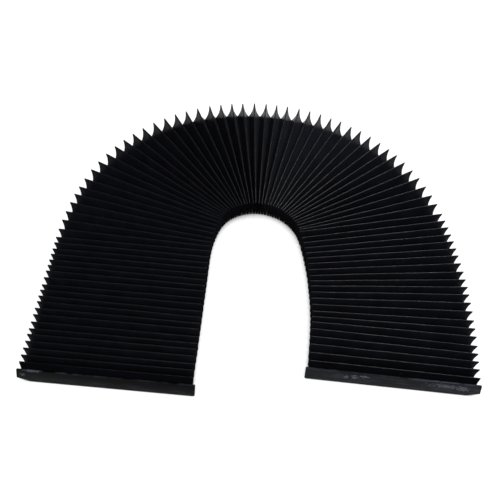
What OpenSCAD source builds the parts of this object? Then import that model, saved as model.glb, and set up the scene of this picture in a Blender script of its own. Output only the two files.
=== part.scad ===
// Flat bellows way cover, lying on its valleys and bent into a horseshoe.
// One laminated cloth sheet is pleated across its width, ridge and valley in turn.
// Every panel between two folds keeps its depth, so a pleat stands lower where the
// bend opens it, along the outer edge, and higher where the bend closes it.
// The first and last panels splay outwards, and each carries a strip end plate.

/* [Sheet] */
// Width of the cover, along a ridge
cover_width = 180; // [120:1:240]
// Distance from the outer ends of the ridges in to the outer ends of the valleys
valley_setback = 4.5; // [0:0.5:6]
// Depth of one panel, from fold to fold
panel_depth = 20.5; // [15:0.5:30]
// How far a panel's middle is drawn in under its ridge, as a share of its run
panel_hollow = 0.16; // [0:0.01:0.25]
// Thickness of the laminated cloth
sheet = 0.65; // [0.4:0.05:0.9]
// Height of the end panels' lower edges above the surface
tab_foot = 1.5; // [0.5:0.5:5]
// Lengthwise parts of a panel, which follow its twist round the bend
panel_parts = 4; // [2:1:6]

/* [Pleats] */
// Distance from ridge to ridge along the centre line
pitch = 9.5; // [8:0.1:12]
// Distance from ridge to ridge along the left leg, which is pushed closer
left_pitch = 8.2; // [7:0.1:12]

/* [Horseshoe] */
// Angle of the right end plate
start_angle = -2; // [-8:0.5:8]
// Straight length of the right leg
right_leg = 39.5; // [20:0.5:120]
// Turn of the right shoulder
right_shoulder_turn = 17; // [5:1:30]
// Inner radius of the right shoulder
right_shoulder_radius = 450; // [200:1:600]
// Turn of the right side of the arch
right_arch_turn = 90; // [60:1:100]
// Inner radius of the right side of the arch
right_arch_radius = 53; // [40:1:90]
// Turn of the left side of the arch
left_arch_turn = 58; // [40:1:80]
// Inner radius of the left side of the arch
left_arch_radius = 45; // [35:1:90]
// Turn of the left shoulder
left_shoulder_turn = 16; // [5:0.5:30]
// Inner radius of the left shoulder
left_shoulder_radius = 165; // [100:1:400]
// Straight length of the left leg
left_leg = 164; // [60:1:260]

/* [End plates] */
// Lean of the end panels and their plates, lower edges outwards
plate_lean = 24; // [0:1:45]
// Height of an end plate, along its face
plate_height = 14; // [8:0.5:20]
// Thickness of an end plate
plate_thick = 2; // [1:0.1:4]
// Length of a plate past each edge of the cover
plate_overhang = 3; // [0:0.5:10]
// Length of the clip off a plate's lower outer corner
clip_length = 14; // [4:1:30]
// Height of that clip
clip_height = 3.5; // [1:0.5:8]
// Radius of a plate's other corners
plate_corner = 1; // [0.5:0.1:3]
// Glue line between an end panel and its plate
glue_line = 0.2; // [0.1:0.05:0.3]

/* [Hidden] */
cover_colour = "#16171a";
plate_colour = "#3b3d41";
// A closed fold is two sheets thick, so its flat crest reaches one sheet each way
crest = sheet;
half_width = cover_width / 2;
arc_steps = 6;

// Directions across the cover, towards its outer edge, and along its centre line
function across(angle) = [cos(angle), sin(angle)];
function along(angle) = [-sin(angle), cos(angle)];
function raised(point, z) = [point.x, point.y, z];

// Stretches of the centre line from the right plate to the left: turn, length, pitch
function arc_length(turn, inner_radius) = turn * PI / 180 * (inner_radius + half_width);
stretches = [
    [0, right_leg, pitch],
    [right_shoulder_turn, arc_length(right_shoulder_turn, right_shoulder_radius), pitch],
    [right_arch_turn, arc_length(right_arch_turn, right_arch_radius), pitch],
    [left_arch_turn, arc_length(left_arch_turn, left_arch_radius), pitch],
    [left_shoulder_turn, arc_length(left_shoulder_turn, left_shoulder_radius), pitch],
    [0, left_leg, left_pitch]
];

// One step of turn and length from each fold to the next, two steps to a pleat
steps = [
    for (stretch = stretches)
        let (count = 2 * max(1, round(stretch[1] / stretch[2])))
            for (i = [1 : count]) [stretch[0] / count, stretch[1] / count]
];
last_fold = len(steps);
function chord(step) =
    step[0] == 0 ? step[1] : step[1] * sin(step[0] / 2) / (step[0] / 2 * PI / 180);
angles = [
    for (i = 0, angle = start_angle; i <= last_fold;
         angle = i < last_fold ? angle + steps[i][0] : angle, i = i + 1) angle
];
track = [
    for (i = 0, spot = [0, 0]; i <= last_fold;
         spot = i < last_fold
             ? spot + chord(steps[i]) * along(angles[i] + steps[i][0] / 2) : spot,
         i = i + 1) spot
];

// A fold's place in plan before centring, at a distance across from the centre line
function place_of(fold, offset) = track[fold] + offset * across(angles[fold]);
function run(fold, offset) = norm(place_of(fold + 1, offset) - place_of(fold, offset));
function panel_run(fold, offset) =
    fold == 0 ? run(0, offset)
    : fold == last_fold ? run(fold - 1, offset)
    : (run(fold - 1, offset) + run(fold, offset)) / 2;
function ridge_height(fold, offset) = sqrt(panel_depth ^ 2 - panel_run(fold, offset) ^ 2);

// Distance from an end fold out to its panel's outer face, at a height
function splay(fold, offset, z) = crest + (ridge_height(fold, offset) - z) * tan(plate_lean);
// Lower edges of an end plate, measured out from its fold: back and front
function plate_back(fold) = splay(fold, 0, 0) + glue_line / cos(plate_lean);
function plate_front(fold) = plate_back(fold) + plate_thick * cos(plate_lean);
plate_reach = half_width + plate_overhang;

// Corners of the whole outline, which put the origin under its middle
corners = concat(
    [for (j = [0 : last_fold], side = [-1, 1]) place_of(j, side * half_width)],
    [for (side = [-1, 1])
        place_of(0, side * plate_reach) - plate_front(0) * along(angles[0])],
    [for (side = [-1, 1])
        place_of(last_fold, side * plate_reach)
            + plate_front(last_fold) * along(angles[last_fold])]
);
xs = [for (corner = corners) corner.x];
ys = [for (corner = corners) corner.y];
middle = [min(xs) + max(xs), min(ys) + max(ys)] / 2;
function spot(fold, offset) = place_of(fold, offset) - middle;
// The same share of a valley, whose outer end is set back
function set_back(offset) = offset - valley_setback * (offset + half_width) / cover_width;

// A ridge's crest and inner corner: near side, far side, under
function ridge_points(fold, offset) =
    let (place = spot(fold, offset), edge = crest * along(angles[fold]),
         z = ridge_height(fold, offset))
    [raised(place - edge, z), raised(place + edge, z), raised(place, z - sheet)];
// A valley's inner corner and flat foot: over, near side, far side
function valley_points(fold, offset) =
    let (place = spot(fold, set_back(offset)), edge = crest * along(angles[fold]))
    [raised(place, sheet), raised(place - edge, 0), raised(place + edge, 0)];
// The middle of the panel that follows a fold, drawn in under the ridge: over, under
function panel_points(fold, offset) =
    let (from_ridge = is_ridge(fold),
         ridge = ridge_points(from_ridge ? fold : fold + 1, offset),
         valley = valley_points(from_ridge ? fold + 1 : fold, offset),
         pull = panel_hollow * (spot(from_ridge ? fold : fold + 1, offset)
                                - spot(from_ridge ? fold + 1 : fold, offset)))
    [(ridge[from_ridge ? 1 : 0] + valley[0]) / 2 + raised(pull, 0),
     (ridge[2] + valley[from_ridge ? 1 : 2]) / 2 + raised(pull, 0)];
// The lower edge of an end panel: plate side, cover side
function tab_points(fold, offset, side) =
    let (place = spot(fold, set_back(offset)), out = side * along(angles[fold]),
         face = splay(fold, offset, tab_foot))
    [raised(place + face * out, tab_foot),
     raised(place + (face - sheet / cos(plate_lean)) * out, tab_foot)];

function is_ridge(fold) = fold % 2 == 0;
function section(offset) = concat(
    tab_points(0, offset, -1),
    [for (j = [0 : last_fold])
        each concat(is_ridge(j) ? ridge_points(j, offset) : valley_points(j, offset),
                    j < last_fold ? panel_points(j, offset) : [])],
    tab_points(last_fold, offset, 1)
);

// Places of the points in one section
tab_size = len(tab_points(0, 0, -1));
fold_size = len(ridge_points(0, 0));
stride = fold_size + len(panel_points(0, 0));
function point_of(fold, place) = tab_size + stride * fold + place;
function over_panel(fold) = point_of(fold, fold_size);
function under_panel(fold) = point_of(fold, fold_size + 1);
far_tab = point_of(last_fold, fold_size);
section_size = far_tab + tab_size;

// The closed outline of a section, out along the top and back underneath
top_line = [for (j = [0 : last_fold])
    each concat(is_ridge(j) ? [point_of(j, 0), point_of(j, 1)] : [point_of(j, 0)],
                j < last_fold ? [over_panel(j)] : [])];
under_line = [for (j = [last_fold : -1 : 0])
    each concat(j < last_fold ? [under_panel(j)] : [],
                is_ridge(j) ? [point_of(j, 2)] : [point_of(j, 2), point_of(j, 1)])];
outline = concat([0], top_line, [far_tab, far_tab + 1], under_line, [1]);

// The cut edge of the sheet as triangles: crests, feet, panels and end panels
function halves(a, b, c, d) = [[a, b, c], [a, c, d]];
function panel_edge(fold, over, next_over, next_under) = concat(
    halves(over, over_panel(fold), under_panel(fold), point_of(fold, 2)),
    halves(over_panel(fold), next_over, next_under, under_panel(fold))
);
cut_edge = concat(
    [for (j = [0 : last_fold])
        is_ridge(j) ? [point_of(j, 0), point_of(j, 1), point_of(j, 2)]
        : [point_of(j, 0), point_of(j, 2), point_of(j, 1)]],
    [for (j = [0 : last_fold - 1])
        each is_ridge(j)
            ? panel_edge(j, point_of(j, 1), point_of(j + 1, 0), point_of(j + 1, 1))
            : panel_edge(j, point_of(j, 0), point_of(j + 1, 0), point_of(j + 1, 2))],
    halves(0, point_of(0, 0), point_of(0, 2), 1),
    halves(point_of(last_fold, 1), far_tab, far_tab + 1, point_of(last_fold, 2))
);
function backwards(face) = [face[2], face[1], face[0]];
function moved(face, start) = [for (index = face) start + index];

module pleated_cover() {
    points = [for (i = [0 : panel_parts]) each section(cover_width * i / panel_parts - half_width)];
    skin = [
        for (i = [0 : panel_parts - 1], k = [0 : len(outline) - 1])
            let (near = i * section_size, far = near + section_size,
                 a = outline[k], b = outline[(k + 1) % len(outline)])
            each halves(near + a, near + b, far + b, far + a)
    ];
    inner_edge = [for (face = cut_edge) backwards(face)];
    outer_edge = [for (face = cut_edge) moved(face, panel_parts * section_size)];
    color(cover_colour)
        polyhedron(points, concat(skin, inner_edge, outer_edge), convexity = 10);
}

// A quarter of a round corner, from its centre
function quarter(centre, from) =
    [for (i = [0 : arc_steps]) centre + plate_corner * across(from + 90 * i / arc_steps)];

// Strip plate on the end of the cover, its clipped corner towards the outer edge
module end_plate(fold, side) {
    inside = plate_reach - plate_corner;
    profile = concat(
        [[plate_reach, clip_height]],
        quarter([inside, plate_height - plate_corner], 0),
        quarter([-inside, plate_height - plate_corner], 90),
        quarter([-inside, plate_corner], 180),
        [[plate_reach - clip_length, 0]]
    );
    place = spot(fold, 0);
    lower_edge = side > 0 ? [0, plate_front(fold), plate_thick * sin(plate_lean)]
        : [0, -plate_back(fold), 0];
    color(plate_colour)
        translate([place.x, place.y, 0])
            rotate(angles[fold])
                translate(lower_edge)
                    rotate([90 + side * plate_lean, 0, 0])
                        linear_extrude(plate_thick) polygon(profile);
}

module right_end_plate() {
    end_plate(0, -1);
}

module left_end_plate() {
    end_plate(last_fold, 1);
}

pleated_cover();
right_end_plate();
left_end_plate();
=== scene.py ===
import math

import bmesh
import bpy
from mathutils import Matrix, Vector
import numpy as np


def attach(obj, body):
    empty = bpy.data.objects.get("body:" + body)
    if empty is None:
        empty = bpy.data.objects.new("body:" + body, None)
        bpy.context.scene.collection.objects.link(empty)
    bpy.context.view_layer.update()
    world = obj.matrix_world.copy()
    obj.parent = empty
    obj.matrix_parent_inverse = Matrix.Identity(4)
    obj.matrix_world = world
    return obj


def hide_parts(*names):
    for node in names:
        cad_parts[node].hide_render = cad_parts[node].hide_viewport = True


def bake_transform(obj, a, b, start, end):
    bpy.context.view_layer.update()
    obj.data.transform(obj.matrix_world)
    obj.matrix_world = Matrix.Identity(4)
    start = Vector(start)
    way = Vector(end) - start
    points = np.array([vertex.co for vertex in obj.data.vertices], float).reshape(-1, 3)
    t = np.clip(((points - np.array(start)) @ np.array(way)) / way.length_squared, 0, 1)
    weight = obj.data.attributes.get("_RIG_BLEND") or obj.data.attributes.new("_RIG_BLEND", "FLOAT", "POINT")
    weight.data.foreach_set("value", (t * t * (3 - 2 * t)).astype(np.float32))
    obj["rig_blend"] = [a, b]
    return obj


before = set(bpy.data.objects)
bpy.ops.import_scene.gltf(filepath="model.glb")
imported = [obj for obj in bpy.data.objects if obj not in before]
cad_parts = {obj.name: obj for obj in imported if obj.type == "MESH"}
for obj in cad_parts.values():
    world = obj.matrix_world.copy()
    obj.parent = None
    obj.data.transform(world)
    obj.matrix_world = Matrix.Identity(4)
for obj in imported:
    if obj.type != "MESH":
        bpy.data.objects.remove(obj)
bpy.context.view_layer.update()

print("frame loaded:", sorted(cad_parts))


# Small helpers for node trees
def wire(tree, socket, value):
    if isinstance(value, bpy.types.NodeSocket):
        tree.links.new(value, socket)
    else:
        socket.default_value = value


def addNode(tree, kind, inputs=None, **settings):
    node = tree.nodes.new(kind)
    for key, value in settings.items():
        setattr(node, key, value)
    for key, value in (inputs or {}).items():
        wire(tree, node.inputs[key], value)
    return node


def calc(tree, operation, *values):
    node = addNode(tree, "ShaderNodeMath", operation=operation)
    for socket, value in zip(node.inputs, values):
        wire(tree, socket, value)
    return node.outputs[0]


def vecCalc(tree, operation, *values):
    node = addNode(tree, "ShaderNodeVectorMath", operation=operation)
    if operation == "SCALE":
        wire(tree, node.inputs["Vector"], values[0])
        wire(tree, node.inputs["Scale"], values[1])
    else:
        for socket, value in zip(node.inputs, values):
            wire(tree, socket, value)
    return node.outputs["Value" if operation in ("LENGTH", "DISTANCE") else "Vector"]


def remap(tree, value, low, high, lowOut=0.0, highOut=1.0):
    inputs = {"Value": value, "From Min": low, "From Max": high, "To Min": lowOut, "To Max": highOut}
    node = addNode(tree, "ShaderNodeMapRange", inputs, interpolation_type="SMOOTHSTEP")
    return node.outputs["Result"]


def between(tree, share, first, second):
    return calc(tree, "MULTIPLY_ADD", share, calc(tree, "SUBTRACT", second, first), first)


def noise(tree, place, scale, detail):
    inputs = {"Vector": place, "Scale": scale, "Detail": detail}
    return addNode(tree, "ShaderNodeTexNoise", inputs).outputs[0]


def tinted(tree, shade, tint):
    red, green, blue = [calc(tree, "MULTIPLY", shade, part) for part in tint]
    return addNode(tree, "ShaderNodeCombineColor", {0: red, 1: green, 2: blue}).outputs[0]


# Camera, fitted to the pleats of the photo
photoView = {
    "aim": (-0.0109, -0.0200, 0.0),
    "elevation": 52.76,
    "distance": 0.9169,
    "roll": 4.33,
    "lens": 55.24,
    "sensor": 36.0,
    "nearClip": 0.01,
}


def makeCamera(view):
    tilt = math.radians(view["elevation"])
    roll = math.radians(view["roll"])
    forward = Vector((0.0, math.cos(tilt), -math.sin(tilt)))
    level = Vector((1.0, 0.0, 0.0))
    upright = Vector((0.0, math.sin(tilt), math.cos(tilt)))
    right = level * math.cos(roll) + upright * math.sin(roll)
    up = upright * math.cos(roll) - level * math.sin(roll)
    camera = bpy.data.objects.new("photoCamera", bpy.data.cameras.new("photoCamera"))
    bpy.context.scene.collection.objects.link(camera)
    camera.data.lens = view["lens"]
    camera.data.sensor_width = view["sensor"]
    camera.data.clip_start = view["nearClip"]
    turn = Matrix((right, up, -forward)).transposed().to_4x4()
    camera.matrix_world = Matrix.Translation(Vector(view["aim"]) - forward * view["distance"]) @ turn
    bpy.context.scene.camera = camera


makeCamera(photoView)
print("camera placed")

# Lay of the cover on the table, from the right plate to the left one
coverLay = {
    "width": 0.180,  # along a ridge
    "depth": 0.0205,
    "sheet": 0.00065,
    "startAngle": -2.0,
    "stretches": [  # turn in degrees, radius or straight length, pitch, valley setback
        (0.0, 0.0395, 0.0095, 0.0036),
        (17.0, 0.540, 0.0095, 0.0038),
        (90.0, 0.143, 0.0095, 0.0060),
        (58.0, 0.135, 0.0095, 0.0047),
        (16.0, 0.255, 0.0095, 0.0030),
        (0.0, 0.1640, 0.0082, 0.0024),
    ],
    "setbackBlend": 6,  # folds over which one stretch's setback passes into the next
}

# End plates: strips with a clipped lower corner, on end panels that splay outwards
plateSizes = {
    "lean": math.radians(24.0),
    "height": 0.014,
    "thick": 0.002,
    "reach": 0.093,  # half a plate's length
    "clipLength": 0.014,
    "clipHeight": 0.0035,
    "corner": 0.001,
    "cornerSteps": 6,
    "edge": 0.00028,
    "edgeSteps": 3,
    "edgeAngle": math.radians(50),  # sharper edges than this are rounded
    "sharpAngle": math.radians(28),
    "glue": 0.0002,
}


def acrossAt(angle):
    return Vector((math.cos(math.radians(angle)), math.sin(math.radians(angle)), 0.0))


def alongAt(angle):
    return Vector((-math.sin(math.radians(angle)), math.cos(math.radians(angle)), 0.0))


def endHeight(fold, nextFold):
    return math.sqrt(coverLay["depth"] ** 2 - (nextFold[0] - fold[0]).length ** 2)


def plateFoot(height):
    lean = plateSizes["lean"]
    return coverLay["sheet"] + height * math.tan(lean) + plateSizes["glue"] / math.cos(lean)


def stretchLength(turn, size):
    return math.radians(turn) * size if turn else size


def foldCount(length, pitch):
    return 2 * max(1, round(length / pitch))


def valleySetbacks(lay):
    steps = [lay["stretches"][0][3]]
    for turn, size, pitch, setback in lay["stretches"]:
        steps += [setback] * foldCount(stretchLength(turn, size), pitch)
    reach = lay["setbackBlend"]
    near = [steps[max(i - reach, 0):i + reach + 1] for i in range(len(steps))]
    return [sum(part) / len(part) for part in near]


def layFolds(lay):
    folds = [(Vector((0.0, 0.0, 0.0)), lay["startAngle"])]
    for turn, size, pitch, _ in lay["stretches"]:
        length = stretchLength(turn, size)
        count = foldCount(length, pitch)
        half = math.radians(turn / count) / 2
        chord = length / count * (math.sin(half) / half if half else 1.0)
        for _ in range(count):
            spot, angle = folds[-1]
            folds.append((spot + chord * alongAt(angle + turn / count / 2), angle + turn / count))
    rim = [spot + side * lay["width"] / 2 * acrossAt(angle) for spot, angle in folds for side in (-1, 1)]
    for fold, nextFold, out in ((folds[0], folds[1], -1), (folds[-1], folds[-2], 1)):
        front = plateFoot(endHeight(fold, nextFold)) + plateSizes["thick"] * math.cos(plateSizes["lean"])
        for side in (-1, 1):
            reach = side * plateSizes["reach"] * acrossAt(fold[1])
            rim.append(fold[0] + reach + out * front * alongAt(fold[1]))
    middle = Vector([(min(p[i] for p in rim) + max(p[i] for p in rim)) / 2 for i in range(3)])
    return [(spot - middle, angle) for spot, angle in folds]


folds = layFolds(coverLay)
print("folds laid:", len(folds))

# The pleated sheet, one tree for both halves
pleatSizes = {
    "Cover Width": coverLay["width"],
    "Edge Curve": 2.4,  # how fast a panel's edge draws in below its ridge
    "Panel Depth": coverLay["depth"],
    "Panel Hollow": 0.16,  # draws the middle of a panel in under its ridge, as a share of its run
    "Cloth Thickness": coverLay["sheet"],
    "Fold Radius": 0.00042,
    "Parts Across": 12,
    "Uneven Lay": 0.0009,  # how far a fold strays along the cover
    "Uneven Fan": 0.006,  # how far a fold turns, in radians
    "Uneven Height": 0.0004,
    "Panel Bow": 0.00035,
    "Warp": 0.0005,
    "Seed": 7,
}
tabFoot = 0.0015  # height of an end panel's lower edge
stiffFolds = 3  # folds by a plate that stray less and less towards it
arcSteps = 3  # steps round half a fold
panelSteps = 10  # steps from fold to fold
creaseAngle = math.radians(42)

# How the folds stray: a slow drift along the cover and a chance for each fold
handLay = {
    "driftStep": 0.16,  # how far the noise moves on from fold to fold
    "driftShare": 1.6,
    "chanceShare": 0.45,
    "strayStart": 3.3,
    "straySeed": 1,
    "fanStart": 41.7,
    "fanSeed": 2,
    "heightSeed": 5,
    "bowScale": 14.0,
    "bowStep": 3.7,
    "warpScale": 22.0,
}


def tabLine(fold, nextFold, out):
    fall = (endHeight(fold, nextFold) - tabFoot) * math.tan(plateSizes["lean"])
    thick = coverLay["sheet"] / 2 / math.cos(plateSizes["lean"])
    reach = coverLay["sheet"] + fall - thick + pleatSizes["Fold Radius"]
    return fold[0] + out * reach * alongAt(fold[1]), fold[1]


def layCentreLine(folds, thick):
    lines = [tabLine(folds[0], folds[1], -1)] + folds + [tabLine(folds[-1], folds[-2], 1)]
    setbacks = valleySetbacks(coverLay)
    setbacks = setbacks[:1] + setbacks + setbacks[-1:]
    mesh = bpy.data.meshes.new("centreLine")
    mesh.from_pydata([spot for spot, angle in lines], [], [])
    mesh.attributes.new("across", "FLOAT_VECTOR", "POINT")
    for name in ("foot", "curl", "slack", "setback"):
        mesh.attributes.new(name, "FLOAT", "POINT")
    given = mesh.attributes
    for i, (spot, angle) in enumerate(lines):
        fromEnd = min(i, len(lines) - 1 - i)
        given["across"].data[i].vector = acrossAt(angle)
        given["foot"].data[i].value = thick / 2 if fromEnd else tabFoot
        given["curl"].data[i].value = 1.0 if fromEnd else 0.0
        given["slack"].data[i].value = min(max(fromEnd - 1, 0) / stiffFolds, 1.0)
        given["setback"].data[i].value = setbacks[i]  # from a ridge's outer end in to a valley's
    line = bpy.data.objects.new("centreLine", mesh)
    bpy.context.scene.collection.objects.link(line)
    return line


def makePleatTree():
    tree = bpy.data.node_groups.new("pleatedSheet", "GeometryNodeTree")
    face = tree.interface
    face.new_socket("Centre Line", in_out="INPUT", socket_type="NodeSocketGeometry")
    for name, value in pleatSizes.items():
        kind = "NodeSocketInt" if isinstance(value, int) else "NodeSocketFloat"
        face.new_socket(name, in_out="INPUT", socket_type=kind)
    face.new_socket("First Column", in_out="INPUT", socket_type="NodeSocketInt")
    face.new_socket("Last Column", in_out="INPUT", socket_type="NodeSocketInt")
    face.new_socket("Finish", in_out="INPUT", socket_type="NodeSocketMaterial")
    face.new_socket("Sheet", in_out="OUTPUT", socket_type="NodeSocketGeometry")
    given = addNode(tree, "NodeGroupInput").outputs
    radius, thick = given["Fold Radius"], given["Cloth Thickness"]
    depth, seed = given["Panel Depth"], given["Seed"]

    # Hand-laid folds: each strays and turns a little, none at the plates
    index = addNode(tree, "GeometryNodeInputIndex").outputs[0]

    def named(name, kind):
        node = addNode(tree, "GeometryNodeInputNamedAttribute", {"Name": name}, data_type=kind)
        return node.outputs["Attribute"]

    def chance(number, offset):
        inputs = {"ID": number, "Seed": calc(tree, "ADD", seed, offset)}
        node = addNode(tree, "FunctionNodeRandomValue", inputs, data_type="FLOAT")
        wire(tree, node.inputs[2], -1.0)
        wire(tree, node.inputs[3], 1.0)
        return node.outputs[1]

    def drift(offset):
        place = calc(tree, "MULTIPLY_ADD", index, handLay["driftStep"], calc(tree, "ADD", seed, offset))
        node = addNode(tree, "ShaderNodeTexNoise", {"W": place, "Scale": 1.0}, noise_dimensions="1D")
        return calc(tree, "MULTIPLY_ADD", node.outputs[0], 2.0, -1.0)

    def uneven(start, number, size):
        single = calc(tree, "MULTIPLY", chance(index, number), handLay["chanceShare"])
        amount = calc(tree, "MULTIPLY_ADD", drift(start), handLay["driftShare"], single)
        return calc(tree, "MULTIPLY", calc(tree, "MULTIPLY", amount, size), slack)

    across = named("across", "FLOAT_VECTOR")
    slack = named("slack", "FLOAT")
    along = vecCalc(tree, "CROSS_PRODUCT", (0.0, 0.0, 1.0), across)
    stray = uneven(handLay["strayStart"], handLay["straySeed"], given["Uneven Lay"])
    fan = uneven(handLay["fanStart"], handLay["fanSeed"], given["Uneven Fan"])
    turned = vecCalc(tree, "NORMALIZE", vecCalc(tree, "ADD", across, vecCalc(tree, "SCALE", along, fan)))
    shifted = addNode(tree, "GeometryNodeSetPosition", {"Geometry": given["Centre Line"]})
    wire(tree, shifted.inputs["Offset"], vecCalc(tree, "SCALE", along, stray))
    laid = addNode(tree, "GeometryNodeStoreNamedAttribute", data_type="FLOAT_VECTOR", domain="POINT")
    wire(tree, laid.inputs["Geometry"], shifted.outputs["Geometry"])
    wire(tree, laid.inputs["Name"], "across")
    wire(tree, laid.inputs["Value"], turned)
    path = laid.outputs["Geometry"]

    # The flat sheet, as a grid of columns along it and rows across it
    columns = calc(tree, "SUBTRACT", given["Last Column"], given["First Column"])
    grid = addNode(tree, "GeometryNodeMeshGrid", {"Size X": 1.0, "Size Y": 1.0})
    wire(tree, grid.inputs["Vertices X"], calc(tree, "ADD", columns, 1.0))
    wire(tree, grid.inputs["Vertices Y"], calc(tree, "ADD", given["Parts Across"], 1.0))
    spot = addNode(tree, "GeometryNodeInputPosition").outputs[0]
    split = addNode(tree, "ShaderNodeSeparateXYZ", {0: spot}).outputs
    column = calc(tree, "ROUND", calc(tree, "MULTIPLY", calc(tree, "ADD", split[0], 0.5), columns))
    column = calc(tree, "ADD", column, given["First Column"])
    offset = calc(tree, "MULTIPLY", split[1], given["Cover Width"])
    line = calc(tree, "FLOOR", calc(tree, "DIVIDE", column, panelSteps))
    line = calc(tree, "MINIMUM", line, len(folds))
    step = calc(tree, "SUBTRACT", column, calc(tree, "MULTIPLY", line, panelSteps))
    ridgeFirst = calc(tree, "MODULO", line, 2.0)
    ridge = calc(tree, "SUBTRACT", calc(tree, "ADD", line, 1.0), ridgeFirst)
    valley = calc(tree, "ADD", line, ridgeFirst)
    down = between(tree, ridgeFirst, calc(tree, "SUBTRACT", panelSteps, step), step)  # steps from the ridge

    def sample(value, number, kind):
        inputs = {"Geometry": path, "Value": value, "Index": number}
        node = addNode(tree, "GeometryNodeSampleIndex", data_type=kind, domain="POINT", clamp=True)
        for key, item in inputs.items():
            wire(tree, node.inputs[key], item)
        return node.outputs[0]

    def onFold(number):
        middle = sample(spot, number, "FLOAT_VECTOR")
        aside = vecCalc(tree, "SCALE", sample(across, number, "FLOAT_VECTOR"), offset)
        return vecCalc(tree, "ADD", middle, aside)

    # Each panel keeps its depth, so a ridge stands as high as its neighbours' distance lets it
    curl = named("curl", "FLOAT")
    beforeNumber = calc(tree, "SUBTRACT", ridge, 1.0)
    afterNumber = calc(tree, "ADD", ridge, 1.0)
    ridgeSpot = onFold(ridge)
    runBefore = vecCalc(tree, "DISTANCE", ridgeSpot, onFold(beforeNumber))
    runAfter = vecCalc(tree, "DISTANCE", ridgeSpot, onFold(afterNumber))
    reach = between(tree, sample(curl, beforeNumber, "FLOAT"), runAfter, runBefore)
    reach = calc(tree, "ADD", reach, between(tree, sample(curl, afterNumber, "FLOAT"), runBefore, runAfter))
    reach = calc(tree, "MULTIPLY", reach, 0.5)
    rise = calc(tree, "SUBTRACT", calc(tree, "POWER", depth, 2.0), calc(tree, "POWER", reach, 2.0))
    lift = calc(tree, "MULTIPLY", chance(ridge, handLay["heightSeed"]), given["Uneven Height"])
    lift = calc(tree, "MULTIPLY", lift, sample(slack, ridge, "FLOAT"))
    rise = calc(tree, "ADD", calc(tree, "SQRT", rise), lift)
    lean = vecCalc(tree, "SUBTRACT", onFold(valley), ridgeSpot)
    run = vecCalc(tree, "LENGTH", lean)
    outward = vecCalc(tree, "NORMALIZE", lean)

    # Section of one panel: half a round ridge, a straight panel, half a round valley
    topCentre = calc(tree, "SUBTRACT", calc(tree, "MULTIPLY_ADD", thick, -0.5, rise), radius)
    lowCentre = calc(tree, "ADD", sample(named("foot", "FLOAT"), valley, "FLOAT"), radius)
    drop = calc(tree, "SUBTRACT", topCentre, lowCentre)
    slant = calc(tree, "ADD", calc(tree, "POWER", run, 2.0), calc(tree, "POWER", drop, 2.0))
    slant = calc(tree, "SQRT", slant)
    cross = calc(tree, "ARCSINE", calc(tree, "DIVIDE", calc(tree, "MULTIPLY", radius, 2.0), slant))
    steep = calc(tree, "SUBTRACT", calc(tree, "ARCTAN2", run, drop), cross)
    bend = calc(tree, "SUBTRACT", math.pi / 2, steep)
    topTurn = calc(tree, "MULTIPLY", calc(tree, "MINIMUM", calc(tree, "DIVIDE", down, arcSteps), 1.0), bend)
    up = calc(tree, "SUBTRACT", panelSteps, down)
    lowTurn = calc(tree, "MULTIPLY", calc(tree, "MINIMUM", calc(tree, "DIVIDE", up, arcSteps), 1.0), bend)
    topX = calc(tree, "MULTIPLY", radius, calc(tree, "SINE", topTurn))
    topZ = calc(tree, "MULTIPLY_ADD", radius, calc(tree, "COSINE", topTurn), topCentre)
    curled = calc(tree, "SUBTRACT", 1.0, calc(tree, "SINE", lowTurn))
    curlHere = sample(curl, valley, "FLOAT")
    curled = calc(tree, "MULTIPLY", curled, curlHere)
    lowX = calc(tree, "SUBTRACT", run, calc(tree, "MULTIPLY", radius, calc(tree, "SUBTRACT", 1.0, curled)))
    lowZ = calc(tree, "SUBTRACT", lowCentre, calc(tree, "MULTIPLY", radius, calc(tree, "COSINE", lowTurn)))
    share = calc(tree, "DIVIDE", calc(tree, "SUBTRACT", down, arcSteps), panelSteps - 2 * arcSteps)
    share = calc(tree, "MAXIMUM", calc(tree, "MINIMUM", share, 1.0), 0.0)
    wobbleAcross = calc(tree, "MULTIPLY", offset, handLay["bowScale"])
    wobbleAlong = calc(tree, "MULTIPLY", line, handLay["bowStep"])
    wobbleAt = addNode(tree, "ShaderNodeCombineXYZ", {0: wobbleAcross, 1: wobbleAlong})
    wobble = addNode(tree, "ShaderNodeTexNoise", {"Scale": 1.0}, noise_dimensions="2D")
    wire(tree, wobble.inputs["Vector"], wobbleAt.outputs[0])
    bow = calc(tree, "MULTIPLY_ADD", wobble.outputs[0], 2.0, -1.0)
    bow = calc(tree, "MULTIPLY", bow, given["Panel Bow"])
    bow = calc(tree, "MULTIPLY", bow, sample(slack, valley, "FLOAT"))
    hollow = calc(tree, "MULTIPLY", calc(tree, "MULTIPLY", run, given["Panel Hollow"]), curlHere)
    bow = calc(tree, "SUBTRACT", bow, hollow)
    bow = calc(tree, "MULTIPLY", bow, calc(tree, "SINE", calc(tree, "MULTIPLY", share, math.pi)))
    sideways = calc(tree, "MULTIPLY_ADD", bow, calc(tree, "COSINE", steep), between(tree, share, topX, lowX))
    height = calc(tree, "MULTIPLY_ADD", bow, calc(tree, "SINE", steep), between(tree, share, topZ, lowZ))
    lifted = addNode(tree, "ShaderNodeCombineXYZ", {"Z": height}).outputs[0]
    placed = vecCalc(tree, "ADD", ridgeSpot, vecCalc(tree, "SCALE", outward, sideways))
    placed = vecCalc(tree, "ADD", placed, lifted)
    drawn = calc(tree, "POWER", calc(tree, "SUBTRACT", 1.0, share), given["Edge Curve"])
    setback = sample(named("setback", "FLOAT"), valley, "FLOAT")
    drawn = calc(tree, "MULTIPLY", calc(tree, "SUBTRACT", 1.0, drawn), setback)
    inset = calc(tree, "MULTIPLY", calc(tree, "SUBTRACT", -0.5, split[1]), drawn)
    inset = vecCalc(tree, "SCALE", sample(across, ridge, "FLOAT_VECTOR"), inset)
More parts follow.
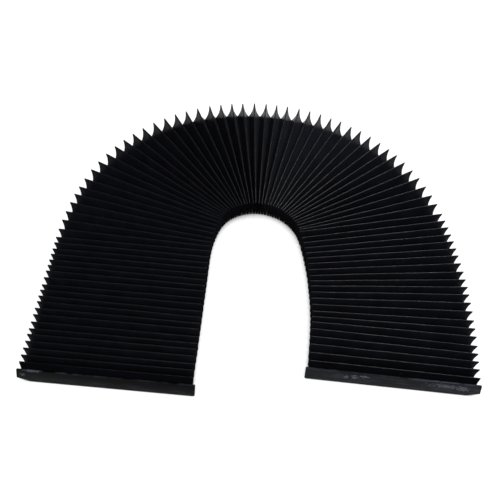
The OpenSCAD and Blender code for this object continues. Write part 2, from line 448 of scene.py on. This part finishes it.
    placed = vecCalc(tree, "ADD", placed, inset)

    # Place on the flat sheet, and nearness to a fold: 1 on a ridge, -1 in a valley
    flatX = calc(tree, "MULTIPLY", calc(tree, "DIVIDE", column, panelSteps), depth)
    nearFold = calc(tree, "SUBTRACT", 1.0, calc(tree, "MULTIPLY", down, 2.0 / panelSteps))
    flat = addNode(tree, "ShaderNodeCombineXYZ", {0: flatX, 1: offset, 2: nearFold}).outputs[0]
    marked = addNode(tree, "GeometryNodeStoreNamedAttribute", data_type="FLOAT_VECTOR", domain="POINT")
    wire(tree, marked.inputs["Geometry"], grid.outputs["Mesh"])
    wire(tree, marked.inputs["Name"], "flatPlace")
    wire(tree, marked.inputs["Value"], flat)
    free = addNode(tree, "GeometryNodeStoreNamedAttribute", data_type="FLOAT", domain="POINT")
    wire(tree, free.inputs["Geometry"], marked.outputs["Geometry"])
    wire(tree, free.inputs["Name"], "slack")
    wire(tree, free.inputs["Value"], sample(slack, ridge, "FLOAT"))
    folded = addNode(tree, "GeometryNodeSetPosition", {"Geometry": free.outputs["Geometry"]})
    wire(tree, folded.inputs["Position"], placed)

    # A slow warp from handling
    swayInputs = {"Vector": spot, "Scale": handLay["warpScale"], "Detail": 1.0}
    sway = addNode(tree, "ShaderNodeTexNoise", swayInputs)
    swayed = vecCalc(tree, "SUBTRACT", sway.outputs[1], (0.5, 0.5, 0.5))
    swayed = vecCalc(tree, "MULTIPLY", swayed, (2.0, 2.0, 0.0))
    swayed = vecCalc(tree, "SCALE", swayed, calc(tree, "MULTIPLY", given["Warp"], slack))
    warped = addNode(tree, "GeometryNodeSetPosition", {"Geometry": folded.outputs["Geometry"]})
    wire(tree, warped.inputs["Offset"], swayed)
    flipped = addNode(tree, "GeometryNodeFlipFaces", {"Mesh": warped.outputs["Geometry"]})
    real = addNode(tree, "GeometryNodeRealizeInstances", {"Geometry": flipped.outputs["Mesh"]})
    finished = addNode(tree, "GeometryNodeSetMaterial", {"Geometry": real.outputs["Geometry"]})
    wire(tree, finished.inputs["Material"], given["Finish"])
    wire(tree, addNode(tree, "NodeGroupOutput").inputs["Sheet"], finished.outputs["Geometry"])
    return tree


def plainMesh(source, name):
    bpy.context.view_layer.update()
    depsgraph = bpy.context.evaluated_depsgraph_get()
    mesh = bpy.data.meshes.new_from_object(source.evaluated_get(depsgraph), depsgraph=depsgraph)
    mesh.name = name
    return mesh


def makePleats(name, tree, firstColumn, lastColumn, finish):
    line = layCentreLine(folds, pleatSizes["Cloth Thickness"])
    modifier = line.modifiers.new("pleats", "NODES")
    modifier.node_group = tree
    values = dict(pleatSizes)
    values.update({"First Column": firstColumn, "Last Column": lastColumn, "Finish": finish})
    for item in tree.interface.items_tree:
        if item.in_out == "INPUT" and item.name in values:
            modifier[item.identifier] = values[item.name]
    sheet = bpy.data.objects.new(name, plainMesh(line, name))
    bpy.data.objects.remove(line)
    bpy.context.scene.collection.objects.link(sheet)
    wall = sheet.modifiers.new("clothThickness", "SOLIDIFY")
    wall.thickness = pleatSizes["Cloth Thickness"]
    wall.offset = 0.0
    wall.use_even_offset = False
    thick = plainMesh(sheet, name)
    sheet.modifiers.clear()
    sheet.data = thick
    thick.polygons.foreach_set("use_smooth", [True] * len(thick.polygons))
    thick.set_sharp_from_angle(angle=creaseAngle)
    print(name, "polygons:", len(thick.polygons))
    return sheet


# Coated cloth: near black and satin, polished along the ridges
clothLook = {
    "base": 0.0125,
    "patch": 0.0175,
    "patchNoise": (45.0, 4.0),  # scale, detail
    "patchBand": (0.3, 0.7),
    "crest": 0.0028,
    "crestBand": (0.45, 1.0),  # nearness to a ridge
    "rubNoise": (160.0, 5.0),
    "rubBand": (0.35, 0.70),
    "lint": 0.11,
    "lintScale": 150.0,
    "lintSize": (0.075, 0.035),
    "lintRare": 0.86,  # share of the places that stay clean
    "lintCover": 0.5,
    "cutEdge": 0.004,
    "cutBand": (0.0007, 0.0001),  # in from the cut edge
    "cutRoughness": 0.85,
    "cutShine": 0.02,
    "tint": (0.94, 1.0, 1.45),
    "endPanelPaintedShade": 0.4,  # painted shade: the colour keeps this share beside the plates, rising to full over the next folds
    "roughness": (0.29, 0.40),
    "roughBand": (0.3, 0.75),
    "crestRoughness": 0.31,
    "shine": 0.05,
    "crestShine": (0.168, 0.392),  # folds are polished by use
    "fuzz": 0.011,  # sheen of the cloth at a low angle
    "weave": 0.00045,
    "weaveRelief": 0.35,
    "rubRelief": 1.2,
    "reliefStrength": 0.18,
    "reliefDepth": 0.0001,
}


def makeCloth(look):
    material = bpy.data.materials.new("coatedCloth")
    material.use_nodes = True
    tree = material.node_tree
    shader = tree.nodes["Principled BSDF"]
    place = addNode(tree, "ShaderNodeAttribute", attribute_name="flatPlace").outputs["Vector"]
    along, across, nearFold = addNode(tree, "ShaderNodeSeparateXYZ", {0: place}).outputs
    flat = addNode(tree, "ShaderNodeCombineXYZ", {0: along, 1: across}).outputs[0]
    patches = noise(tree, flat, *look["patchNoise"])
    rubbed = noise(tree, flat, *look["rubNoise"])
    crest = remap(tree, nearFold, *look["crestBand"])
    shade = between(tree, remap(tree, patches, *look["patchBand"]), look["base"], look["patch"])
    shade = between(tree, crest, shade, look["crest"])
    lint = addNode(tree, "ShaderNodeTexVoronoi", {"Vector": flat, "Scale": look["lintScale"]})
    speck = remap(tree, lint.outputs["Distance"], *look["lintSize"])
    rare = addNode(tree, "ShaderNodeSeparateColor", {0: lint.outputs["Color"]}).outputs[0]
    speck = calc(tree, "MULTIPLY", speck, calc(tree, "GREATER_THAN", rare, look["lintRare"]))
    shade = between(tree, calc(tree, "MULTIPLY", speck, look["lintCover"]), shade, look["lint"])
    slack = addNode(tree, "ShaderNodeAttribute", attribute_name="slack").outputs["Fac"]
    # Painted shade: the end panels beside the plates are darkened in colour
    shade = calc(tree, "MULTIPLY", shade, between(tree, slack, look["endPanelPaintedShade"], 1.0))
    cutFrom, cutTo = [coverLay["width"] / 2 - gap for gap in look["cutBand"]]
    rim = remap(tree, calc(tree, "ABSOLUTE", across), cutFrom, cutTo)
    shade = between(tree, rim, shade, look["cutEdge"])
    wire(tree, shader.inputs["Base Color"], tinted(tree, shade, look["tint"]))
    rough = between(tree, remap(tree, patches, *look["roughBand"]), *look["roughness"])
    rough = between(tree, crest, rough, look["crestRoughness"])
    wire(tree, shader.inputs["Roughness"], between(tree, rim, rough, look["cutRoughness"]))
    polish = remap(tree, rubbed, *look["rubBand"], *look["crestShine"])
    shine = between(tree, crest, calc(tree, "MULTIPLY", slack, look["shine"]), polish)
    wire(tree, shader.inputs["Specular IOR Level"], between(tree, rim, shine, look["cutShine"]))
    wire(tree, shader.inputs["Sheen Weight"], look["fuzz"])
    turns = 2 * math.pi / look["weave"]
    warpThread = calc(tree, "SINE", calc(tree, "MULTIPLY", along, turns))
    weftThread = calc(tree, "SINE", calc(tree, "MULTIPLY", across, turns))
    threads = calc(tree, "MULTIPLY", warpThread, weftThread)
    relief = calc(tree, "MULTIPLY", rubbed, look["rubRelief"])
    relief = calc(tree, "MULTIPLY_ADD", threads, look["weaveRelief"], relief)
    bump = addNode(tree, "ShaderNodeBump", {"Height": relief, "Strength": look["reliefStrength"]})
    wire(tree, bump.inputs["Distance"], look["reliefDepth"])
    wire(tree, shader.inputs["Normal"], bump.outputs[0])
    return material


clothBlack = makeCloth(clothLook)
print("cloth finish made")
pleatTree = makePleatTree()
lastColumn = (len(folds) + 1) * panelSteps
crownLine = 88  # the halves meet in the panel after this line
crownColumn = crownLine * panelSteps + panelSteps // 2
rightPleats = makePleats("rightPleats", pleatTree, 0, crownColumn, clothBlack)
leftPleats = makePleats("leftPleats", pleatTree, crownColumn, lastColumn, clothBlack)


# End plates
def plateOutline(sizes):
    inside = sizes["reach"] - sizes["corner"]
    top = sizes["height"] - sizes["corner"]
    points = [(sizes["reach"], sizes["clipHeight"])]
    for middle, start in (((inside, top), 0), ((-inside, top), 90), ((-inside, sizes["corner"]), 180)):
        for i in range(sizes["cornerSteps"] + 1):
            bend = sizes["corner"] * acrossAt(start + 90 / sizes["cornerSteps"] * i)
            points.append((middle[0] + bend.x, middle[1] + bend.y))
    points.append((sizes["reach"] - sizes["clipLength"], 0.0))
    return points


def makePlate(name, fold, nextFold, out, sizes, finish):
    spot, angle = fold
    outward = out * alongAt(angle)
    rise = Vector((0.0, 0.0, math.cos(sizes["lean"]))) - outward * math.sin(sizes["lean"])
    normal = outward * math.cos(sizes["lean"]) + Vector((0.0, 0.0, math.sin(sizes["lean"])))
    foot = spot + outward * plateFoot(endHeight(fold, nextFold))
    shape = bmesh.new()
    rings = []
    for depth in (0.0, sizes["thick"]):
        base = foot + depth * normal
        ring = [base + u * acrossAt(angle) + w * rise for u, w in plateOutline(sizes)]
        rings.append([shape.verts.new(point) for point in ring])
    count = len(rings[0])
    shape.faces.new(rings[0])
    shape.faces.new(list(reversed(rings[1])))
    for i in range(count):
        j = (i + 1) % count
        shape.faces.new((rings[0][j], rings[0][i], rings[1][i], rings[1][j]))
    bmesh.ops.recalc_face_normals(shape, faces=shape.faces)
    mesh = bpy.data.meshes.new(name)
    shape.to_mesh(mesh)
    shape.free()
    plate = bpy.data.objects.new(name, mesh)
    bpy.context.scene.collection.objects.link(plate)
    edge = plate.modifiers.new("softEdge", "BEVEL")
    edge.width = sizes["edge"]
    edge.segments = sizes["edgeSteps"]
    edge.limit_method = "ANGLE"
    edge.angle_limit = sizes["edgeAngle"]
    mesh = plainMesh(plate, name)
    plate.modifiers.clear()
    plate.data = mesh
    mesh.polygons.foreach_set("use_smooth", [True] * len(mesh.polygons))
    mesh.set_sharp_from_angle(angle=sizes["sharpAngle"])
    mesh.materials.append(finish)
    place = mesh.attributes.new("plateSpot", "FLOAT_VECTOR", "POINT")
    for vertex, item in zip(mesh.vertices, place.data):
        gap = vertex.co - foot
        item.vector = (gap.dot(acrossAt(angle)), gap.dot(rise), float(out))
    return plate


# Satin plastic with lengthwise rub marks and glue smears
plateLook = {
    "base": 0.012,
    "rub": 0.054,
    "streaks": (30.0, 420.0, 9.0),  # marks per metre across and up, and a step from plate to plate
    "streakDetail": 4.0,
    "streakBand": (0.36, 0.66),
    "clouds": (60.0, 130.0, 9.0),
    "cloudBand": (0.34, 0.64),
    "scribble": (420.0, 700.0, 9.0),
    "grain": 900.0,
    "detail": 3.0,  # of clouds, scribble and grain
    "leftPaintedShadeFoot": 0.76,  # painted shade: the left plate is darker, most so towards its top
    "leftPaintedShadeTop": 0.16,
    "leftPaintedShadeBand": (0.002, 0.010),
    "edge": 0.10,  # painted highlight along the upper edge, weaker on a plate's inner half
    "edgeHighlightBand": (0.0012, 0.0002),
    "edgeHighlightClouds": (0.35, 0.6),
    "edgeHighlightFade": (0.0, 0.06),
    "edgeHighlightInner": 0.25,
    "tint": (0.94, 1.0, 1.26),
    "roughness": 0.40,
    "rubRoughness": 0.56,
    "smearRoughness": 0.62,
    "shine": 0.13,
    "leftShine": 0.075,
    "streakRelief": 0.6,
    "grainRelief": 0.5,
    "reliefStrength": 0.25,
    "reliefDepth": 0.0001,
    "smear": 0.24,
    "smearCover": 0.7,
    "smearBand": (1.0, 0.3),
    "smearRagged": (1.6, 3.0),  # by streaks, by scribble
    "smears": [  # across, up, side, length, height
        (0.0735, 0.0082, -1.0, 0.0080, 0.0036),
        (0.0560, 0.0088, -1.0, 0.0190, 0.0026),
        (-0.0496, 0.0075, -1.0, 0.0038, 0.0026),
        (-0.0410, 0.0080, -1.0, 0.0046, 0.0036),
        (-0.0300, 0.0098, -1.0, 0.0060, 0.0018),
        (0.0867, 0.0081, 1.0, 0.0030, 0.0022),
        (0.0756, 0.0132, 1.0, 0.0080, 0.0011),
    ],
}


def makePlastic(look):
    material = bpy.data.materials.new("platePlastic")
    material.use_nodes = True
    tree = material.node_tree
    shader = tree.nodes["Principled BSDF"]
    place = addNode(tree, "ShaderNodeAttribute", attribute_name="plateSpot").outputs["Vector"]
    across, height, side = addNode(tree, "ShaderNodeSeparateXYZ", {0: place}).outputs
    left = remap(tree, side, -1.0, 1.0)
    streaks = noise(tree, vecCalc(tree, "MULTIPLY", place, look["streaks"]), 1.0, look["streakDetail"])
    clouds = noise(tree, vecCalc(tree, "MULTIPLY", place, look["clouds"]), 1.0, look["detail"])
    scribble = noise(tree, vecCalc(tree, "MULTIPLY", place, look["scribble"]), 1.0, look["detail"])
    solid = addNode(tree, "ShaderNodeTexCoord").outputs["Object"]
    grain = noise(tree, solid, look["grain"], look["detail"])
    rubs = remap(tree, streaks, *look["streakBand"])
    rubs = calc(tree, "MULTIPLY", rubs, remap(tree, clouds, *look["cloudBand"]))
    shade = between(tree, rubs, look["base"], look["rub"])
    # Painted shade: the left plate is darkened, most so towards its top
    dim = remap(tree, height, *look["leftPaintedShadeBand"], look["leftPaintedShadeFoot"], look["leftPaintedShadeTop"])
    shade = calc(tree, "MULTIPLY", shade, between(tree, left, 1.0, dim))
    # Painted highlight: a pale line along each plate's upper edge
    highlightFrom, highlightTo = [plateSizes["height"] - gap for gap in look["edgeHighlightBand"]]
    rim = remap(tree, height, highlightFrom, highlightTo)
    rim = calc(tree, "MULTIPLY", rim, remap(tree, across, *look["edgeHighlightFade"], look["edgeHighlightInner"], 1.0))
    rim = calc(tree, "MULTIPLY", rim, remap(tree, clouds, *look["edgeHighlightClouds"]))
    shade = between(tree, rim, shade, look["edge"])
    byStreaks, byScribble = look["smearRagged"]
    smear = None
    for x, y, z, length, tall in look["smears"]:
        gap = vecCalc(tree, "SUBTRACT", place, (x, y, z))
        gap = vecCalc(tree, "LENGTH", vecCalc(tree, "MULTIPLY", gap, (1.0 / length, 1.0 / tall, 1.0)))
        ragged = calc(tree, "MULTIPLY_ADD", calc(tree, "SUBTRACT", streaks, 0.5), byStreaks, gap)
        ragged = calc(tree, "MULTIPLY_ADD", calc(tree, "SUBTRACT", scribble, 0.5), byScribble, ragged)
        mask = remap(tree, ragged, *look["smearBand"])
        smear = mask if smear is None else calc(tree, "MAXIMUM", smear, mask)
    shade = between(tree, calc(tree, "MULTIPLY", smear, look["smearCover"]), shade, look["smear"])
    wire(tree, shader.inputs["Base Color"], tinted(tree, shade, look["tint"]))
    rough = between(tree, rubs, look["roughness"], look["rubRoughness"])
    wire(tree, shader.inputs["Roughness"], between(tree, smear, rough, look["smearRoughness"]))
    wire(tree, shader.inputs["Specular IOR Level"], between(tree, left, look["shine"], look["leftShine"]))
    relief = calc(tree, "MULTIPLY", grain, look["grainRelief"])
    relief = calc(tree, "MULTIPLY_ADD", streaks, look["streakRelief"], relief)
    bump = addNode(tree, "ShaderNodeBump", {"Height": relief, "Strength": look["reliefStrength"]})
    wire(tree, bump.inputs["Distance"], look["reliefDepth"])
    wire(tree, shader.inputs["Normal"], bump.outputs[0])
    return material


platePlastic = makePlastic(plateLook)
rightPlate = makePlate("rightPlate", folds[0], folds[1], -1, plateSizes, platePlastic)
leftPlate = makePlate("leftPlate", folds[-1], folds[-2], 1, plateSizes, platePlastic)
print("end plates made")

# Pieces to bodies: a leg's pleats open and close between the arch and its plate
archFrom = {"right_end": -0.030, "left_end": -0.043}  # along Y
blendInset = 0.002  # from the last fold in
for pleats, end, fold, out in ((rightPleats, "right_end", folds[0], -1),
                               (leftPleats, "left_end", folds[-1], 1)):
    inner = fold[0] - out * blendInset * alongAt(fold[1])
    way = -out * alongAt(fold[1])
    start = inner + way * ((archFrom[end] - inner.y) / way.y)
    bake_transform(pleats, "bellows", end, start=tuple(start), end=tuple(inner))
    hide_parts("pleated_cover")
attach(rightPlate, "right_end")
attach(leftPlate, "left_end")
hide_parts("right_end_plate")
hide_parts("left_end_plate")
print("pieces ride on their bodies")

# White table, soft lamps
studio = {
    "floorHalf": 3.0,
    "floorLevel": -0.0003,
    "floorColour": 0.28,
    "floorGlow": 0.95,
    "paintedShadowSize": 0.05,  # painted shadow: the table's glow darkens in hollows of this size
    "paintedShadowBand": (0.34, 0.60),
    "paintedShadowSamples": 8,
    "skyLight": 0.14,
    "horizonLight": 1.0,
    "horizonBand": (0.02, 0.18),
    "keyPlace": (0.38, 0.58, 0.97),
    "keySize": 0.55,
    "keyPower": 8.6,
    "fillPlace": (0.10, -0.80, 1.10),
    "fillSize": 0.9,
    "fillPower": 4.6,
}


def seenDirectly(tree):
    path = addNode(tree, "ShaderNodeLightPath").outputs
    seen = calc(tree, "MAXIMUM", path["Is Camera Ray"], path["Is Glossy Ray"])
    return calc(tree, "MAXIMUM", seen, path["Is Transmission Ray"])


def makeFloor(sizes):
    mesh = bpy.data.meshes.new("whiteTable")
    half = sizes["floorHalf"]
    corners = [(-half, -half), (half, -half), (half, half), (-half, half)]
    mesh.from_pydata([(x, y, sizes["floorLevel"]) for x, y in corners], [], [(0, 1, 2, 3)])
    floor = bpy.data.objects.new("whiteTable", mesh)
    bpy.context.scene.collection.objects.link(floor)
    material = bpy.data.materials.new("tableWhite")
    material.use_nodes = True
    tree = material.node_tree
    tree.nodes.clear()
    colour = (sizes["floorColour"],) * 3 + (1.0,)
    matt = addNode(tree, "ShaderNodeBsdfDiffuse", {"Color": colour})
    # Painted shadow: ambient occlusion dims the table's glow under and beside the cover
    nook = addNode(tree, "ShaderNodeAmbientOcclusion", {"Distance": sizes["paintedShadowSize"]})
    nook.samples = sizes["paintedShadowSamples"]
    strength = calc(tree, "MULTIPLY", seenDirectly(tree), sizes["floorGlow"])
    strength = calc(tree, "MULTIPLY", strength, remap(tree, nook.outputs["AO"], *sizes["paintedShadowBand"]))
    glow = addNode(tree, "ShaderNodeEmission", {"Color": (1.0, 1.0, 1.0, 1.0), "Strength": strength})
    both = addNode(tree, "ShaderNodeAddShader", {0: matt.outputs[0], 1: glow.outputs[0]})
    wire(tree, addNode(tree, "ShaderNodeOutputMaterial").inputs["Surface"], both.outputs[0])
    mesh.materials.append(material)


def makeLamp(name, place, size, power):
    lamp = bpy.data.lights.new(name, "AREA")
    lamp.shape = "DISK"
    lamp.size = size
    lamp.energy = power
    holder = bpy.data.objects.new(name, lamp)
    bpy.context.scene.collection.objects.link(holder)
    holder.location = place
    holder.rotation_euler = (-Vector(place)).to_track_quat("-Z", "Y").to_euler()


def makeWorld(sizes):
    world = bpy.data.worlds.new("studioWorld")
    bpy.context.scene.world = world
    world.use_nodes = True
    tree = world.node_tree
    back = tree.nodes["Background"]
    back.inputs["Color"].default_value = (1.0, 1.0, 1.0, 1.0)
    way = addNode(tree, "ShaderNodeTexCoord").outputs["Generated"]
    height = addNode(tree, "ShaderNodeSeparateXYZ", {0: way}).outputs[2]
    low, high = sizes["horizonBand"]
    strength = remap(tree, height, low, high, sizes["horizonLight"], sizes["skyLight"])
    wire(tree, back.inputs["Strength"], strength)


makeFloor(studio)
makeWorld(studio)
makeLamp("keyLamp", studio["keyPlace"], studio["keySize"], studio["keyPower"])
makeLamp("fillLamp", studio["fillPlace"], studio["fillSize"], studio["fillPower"])
bpy.context.scene.view_settings.view_transform = "Standard"
print("studio set")
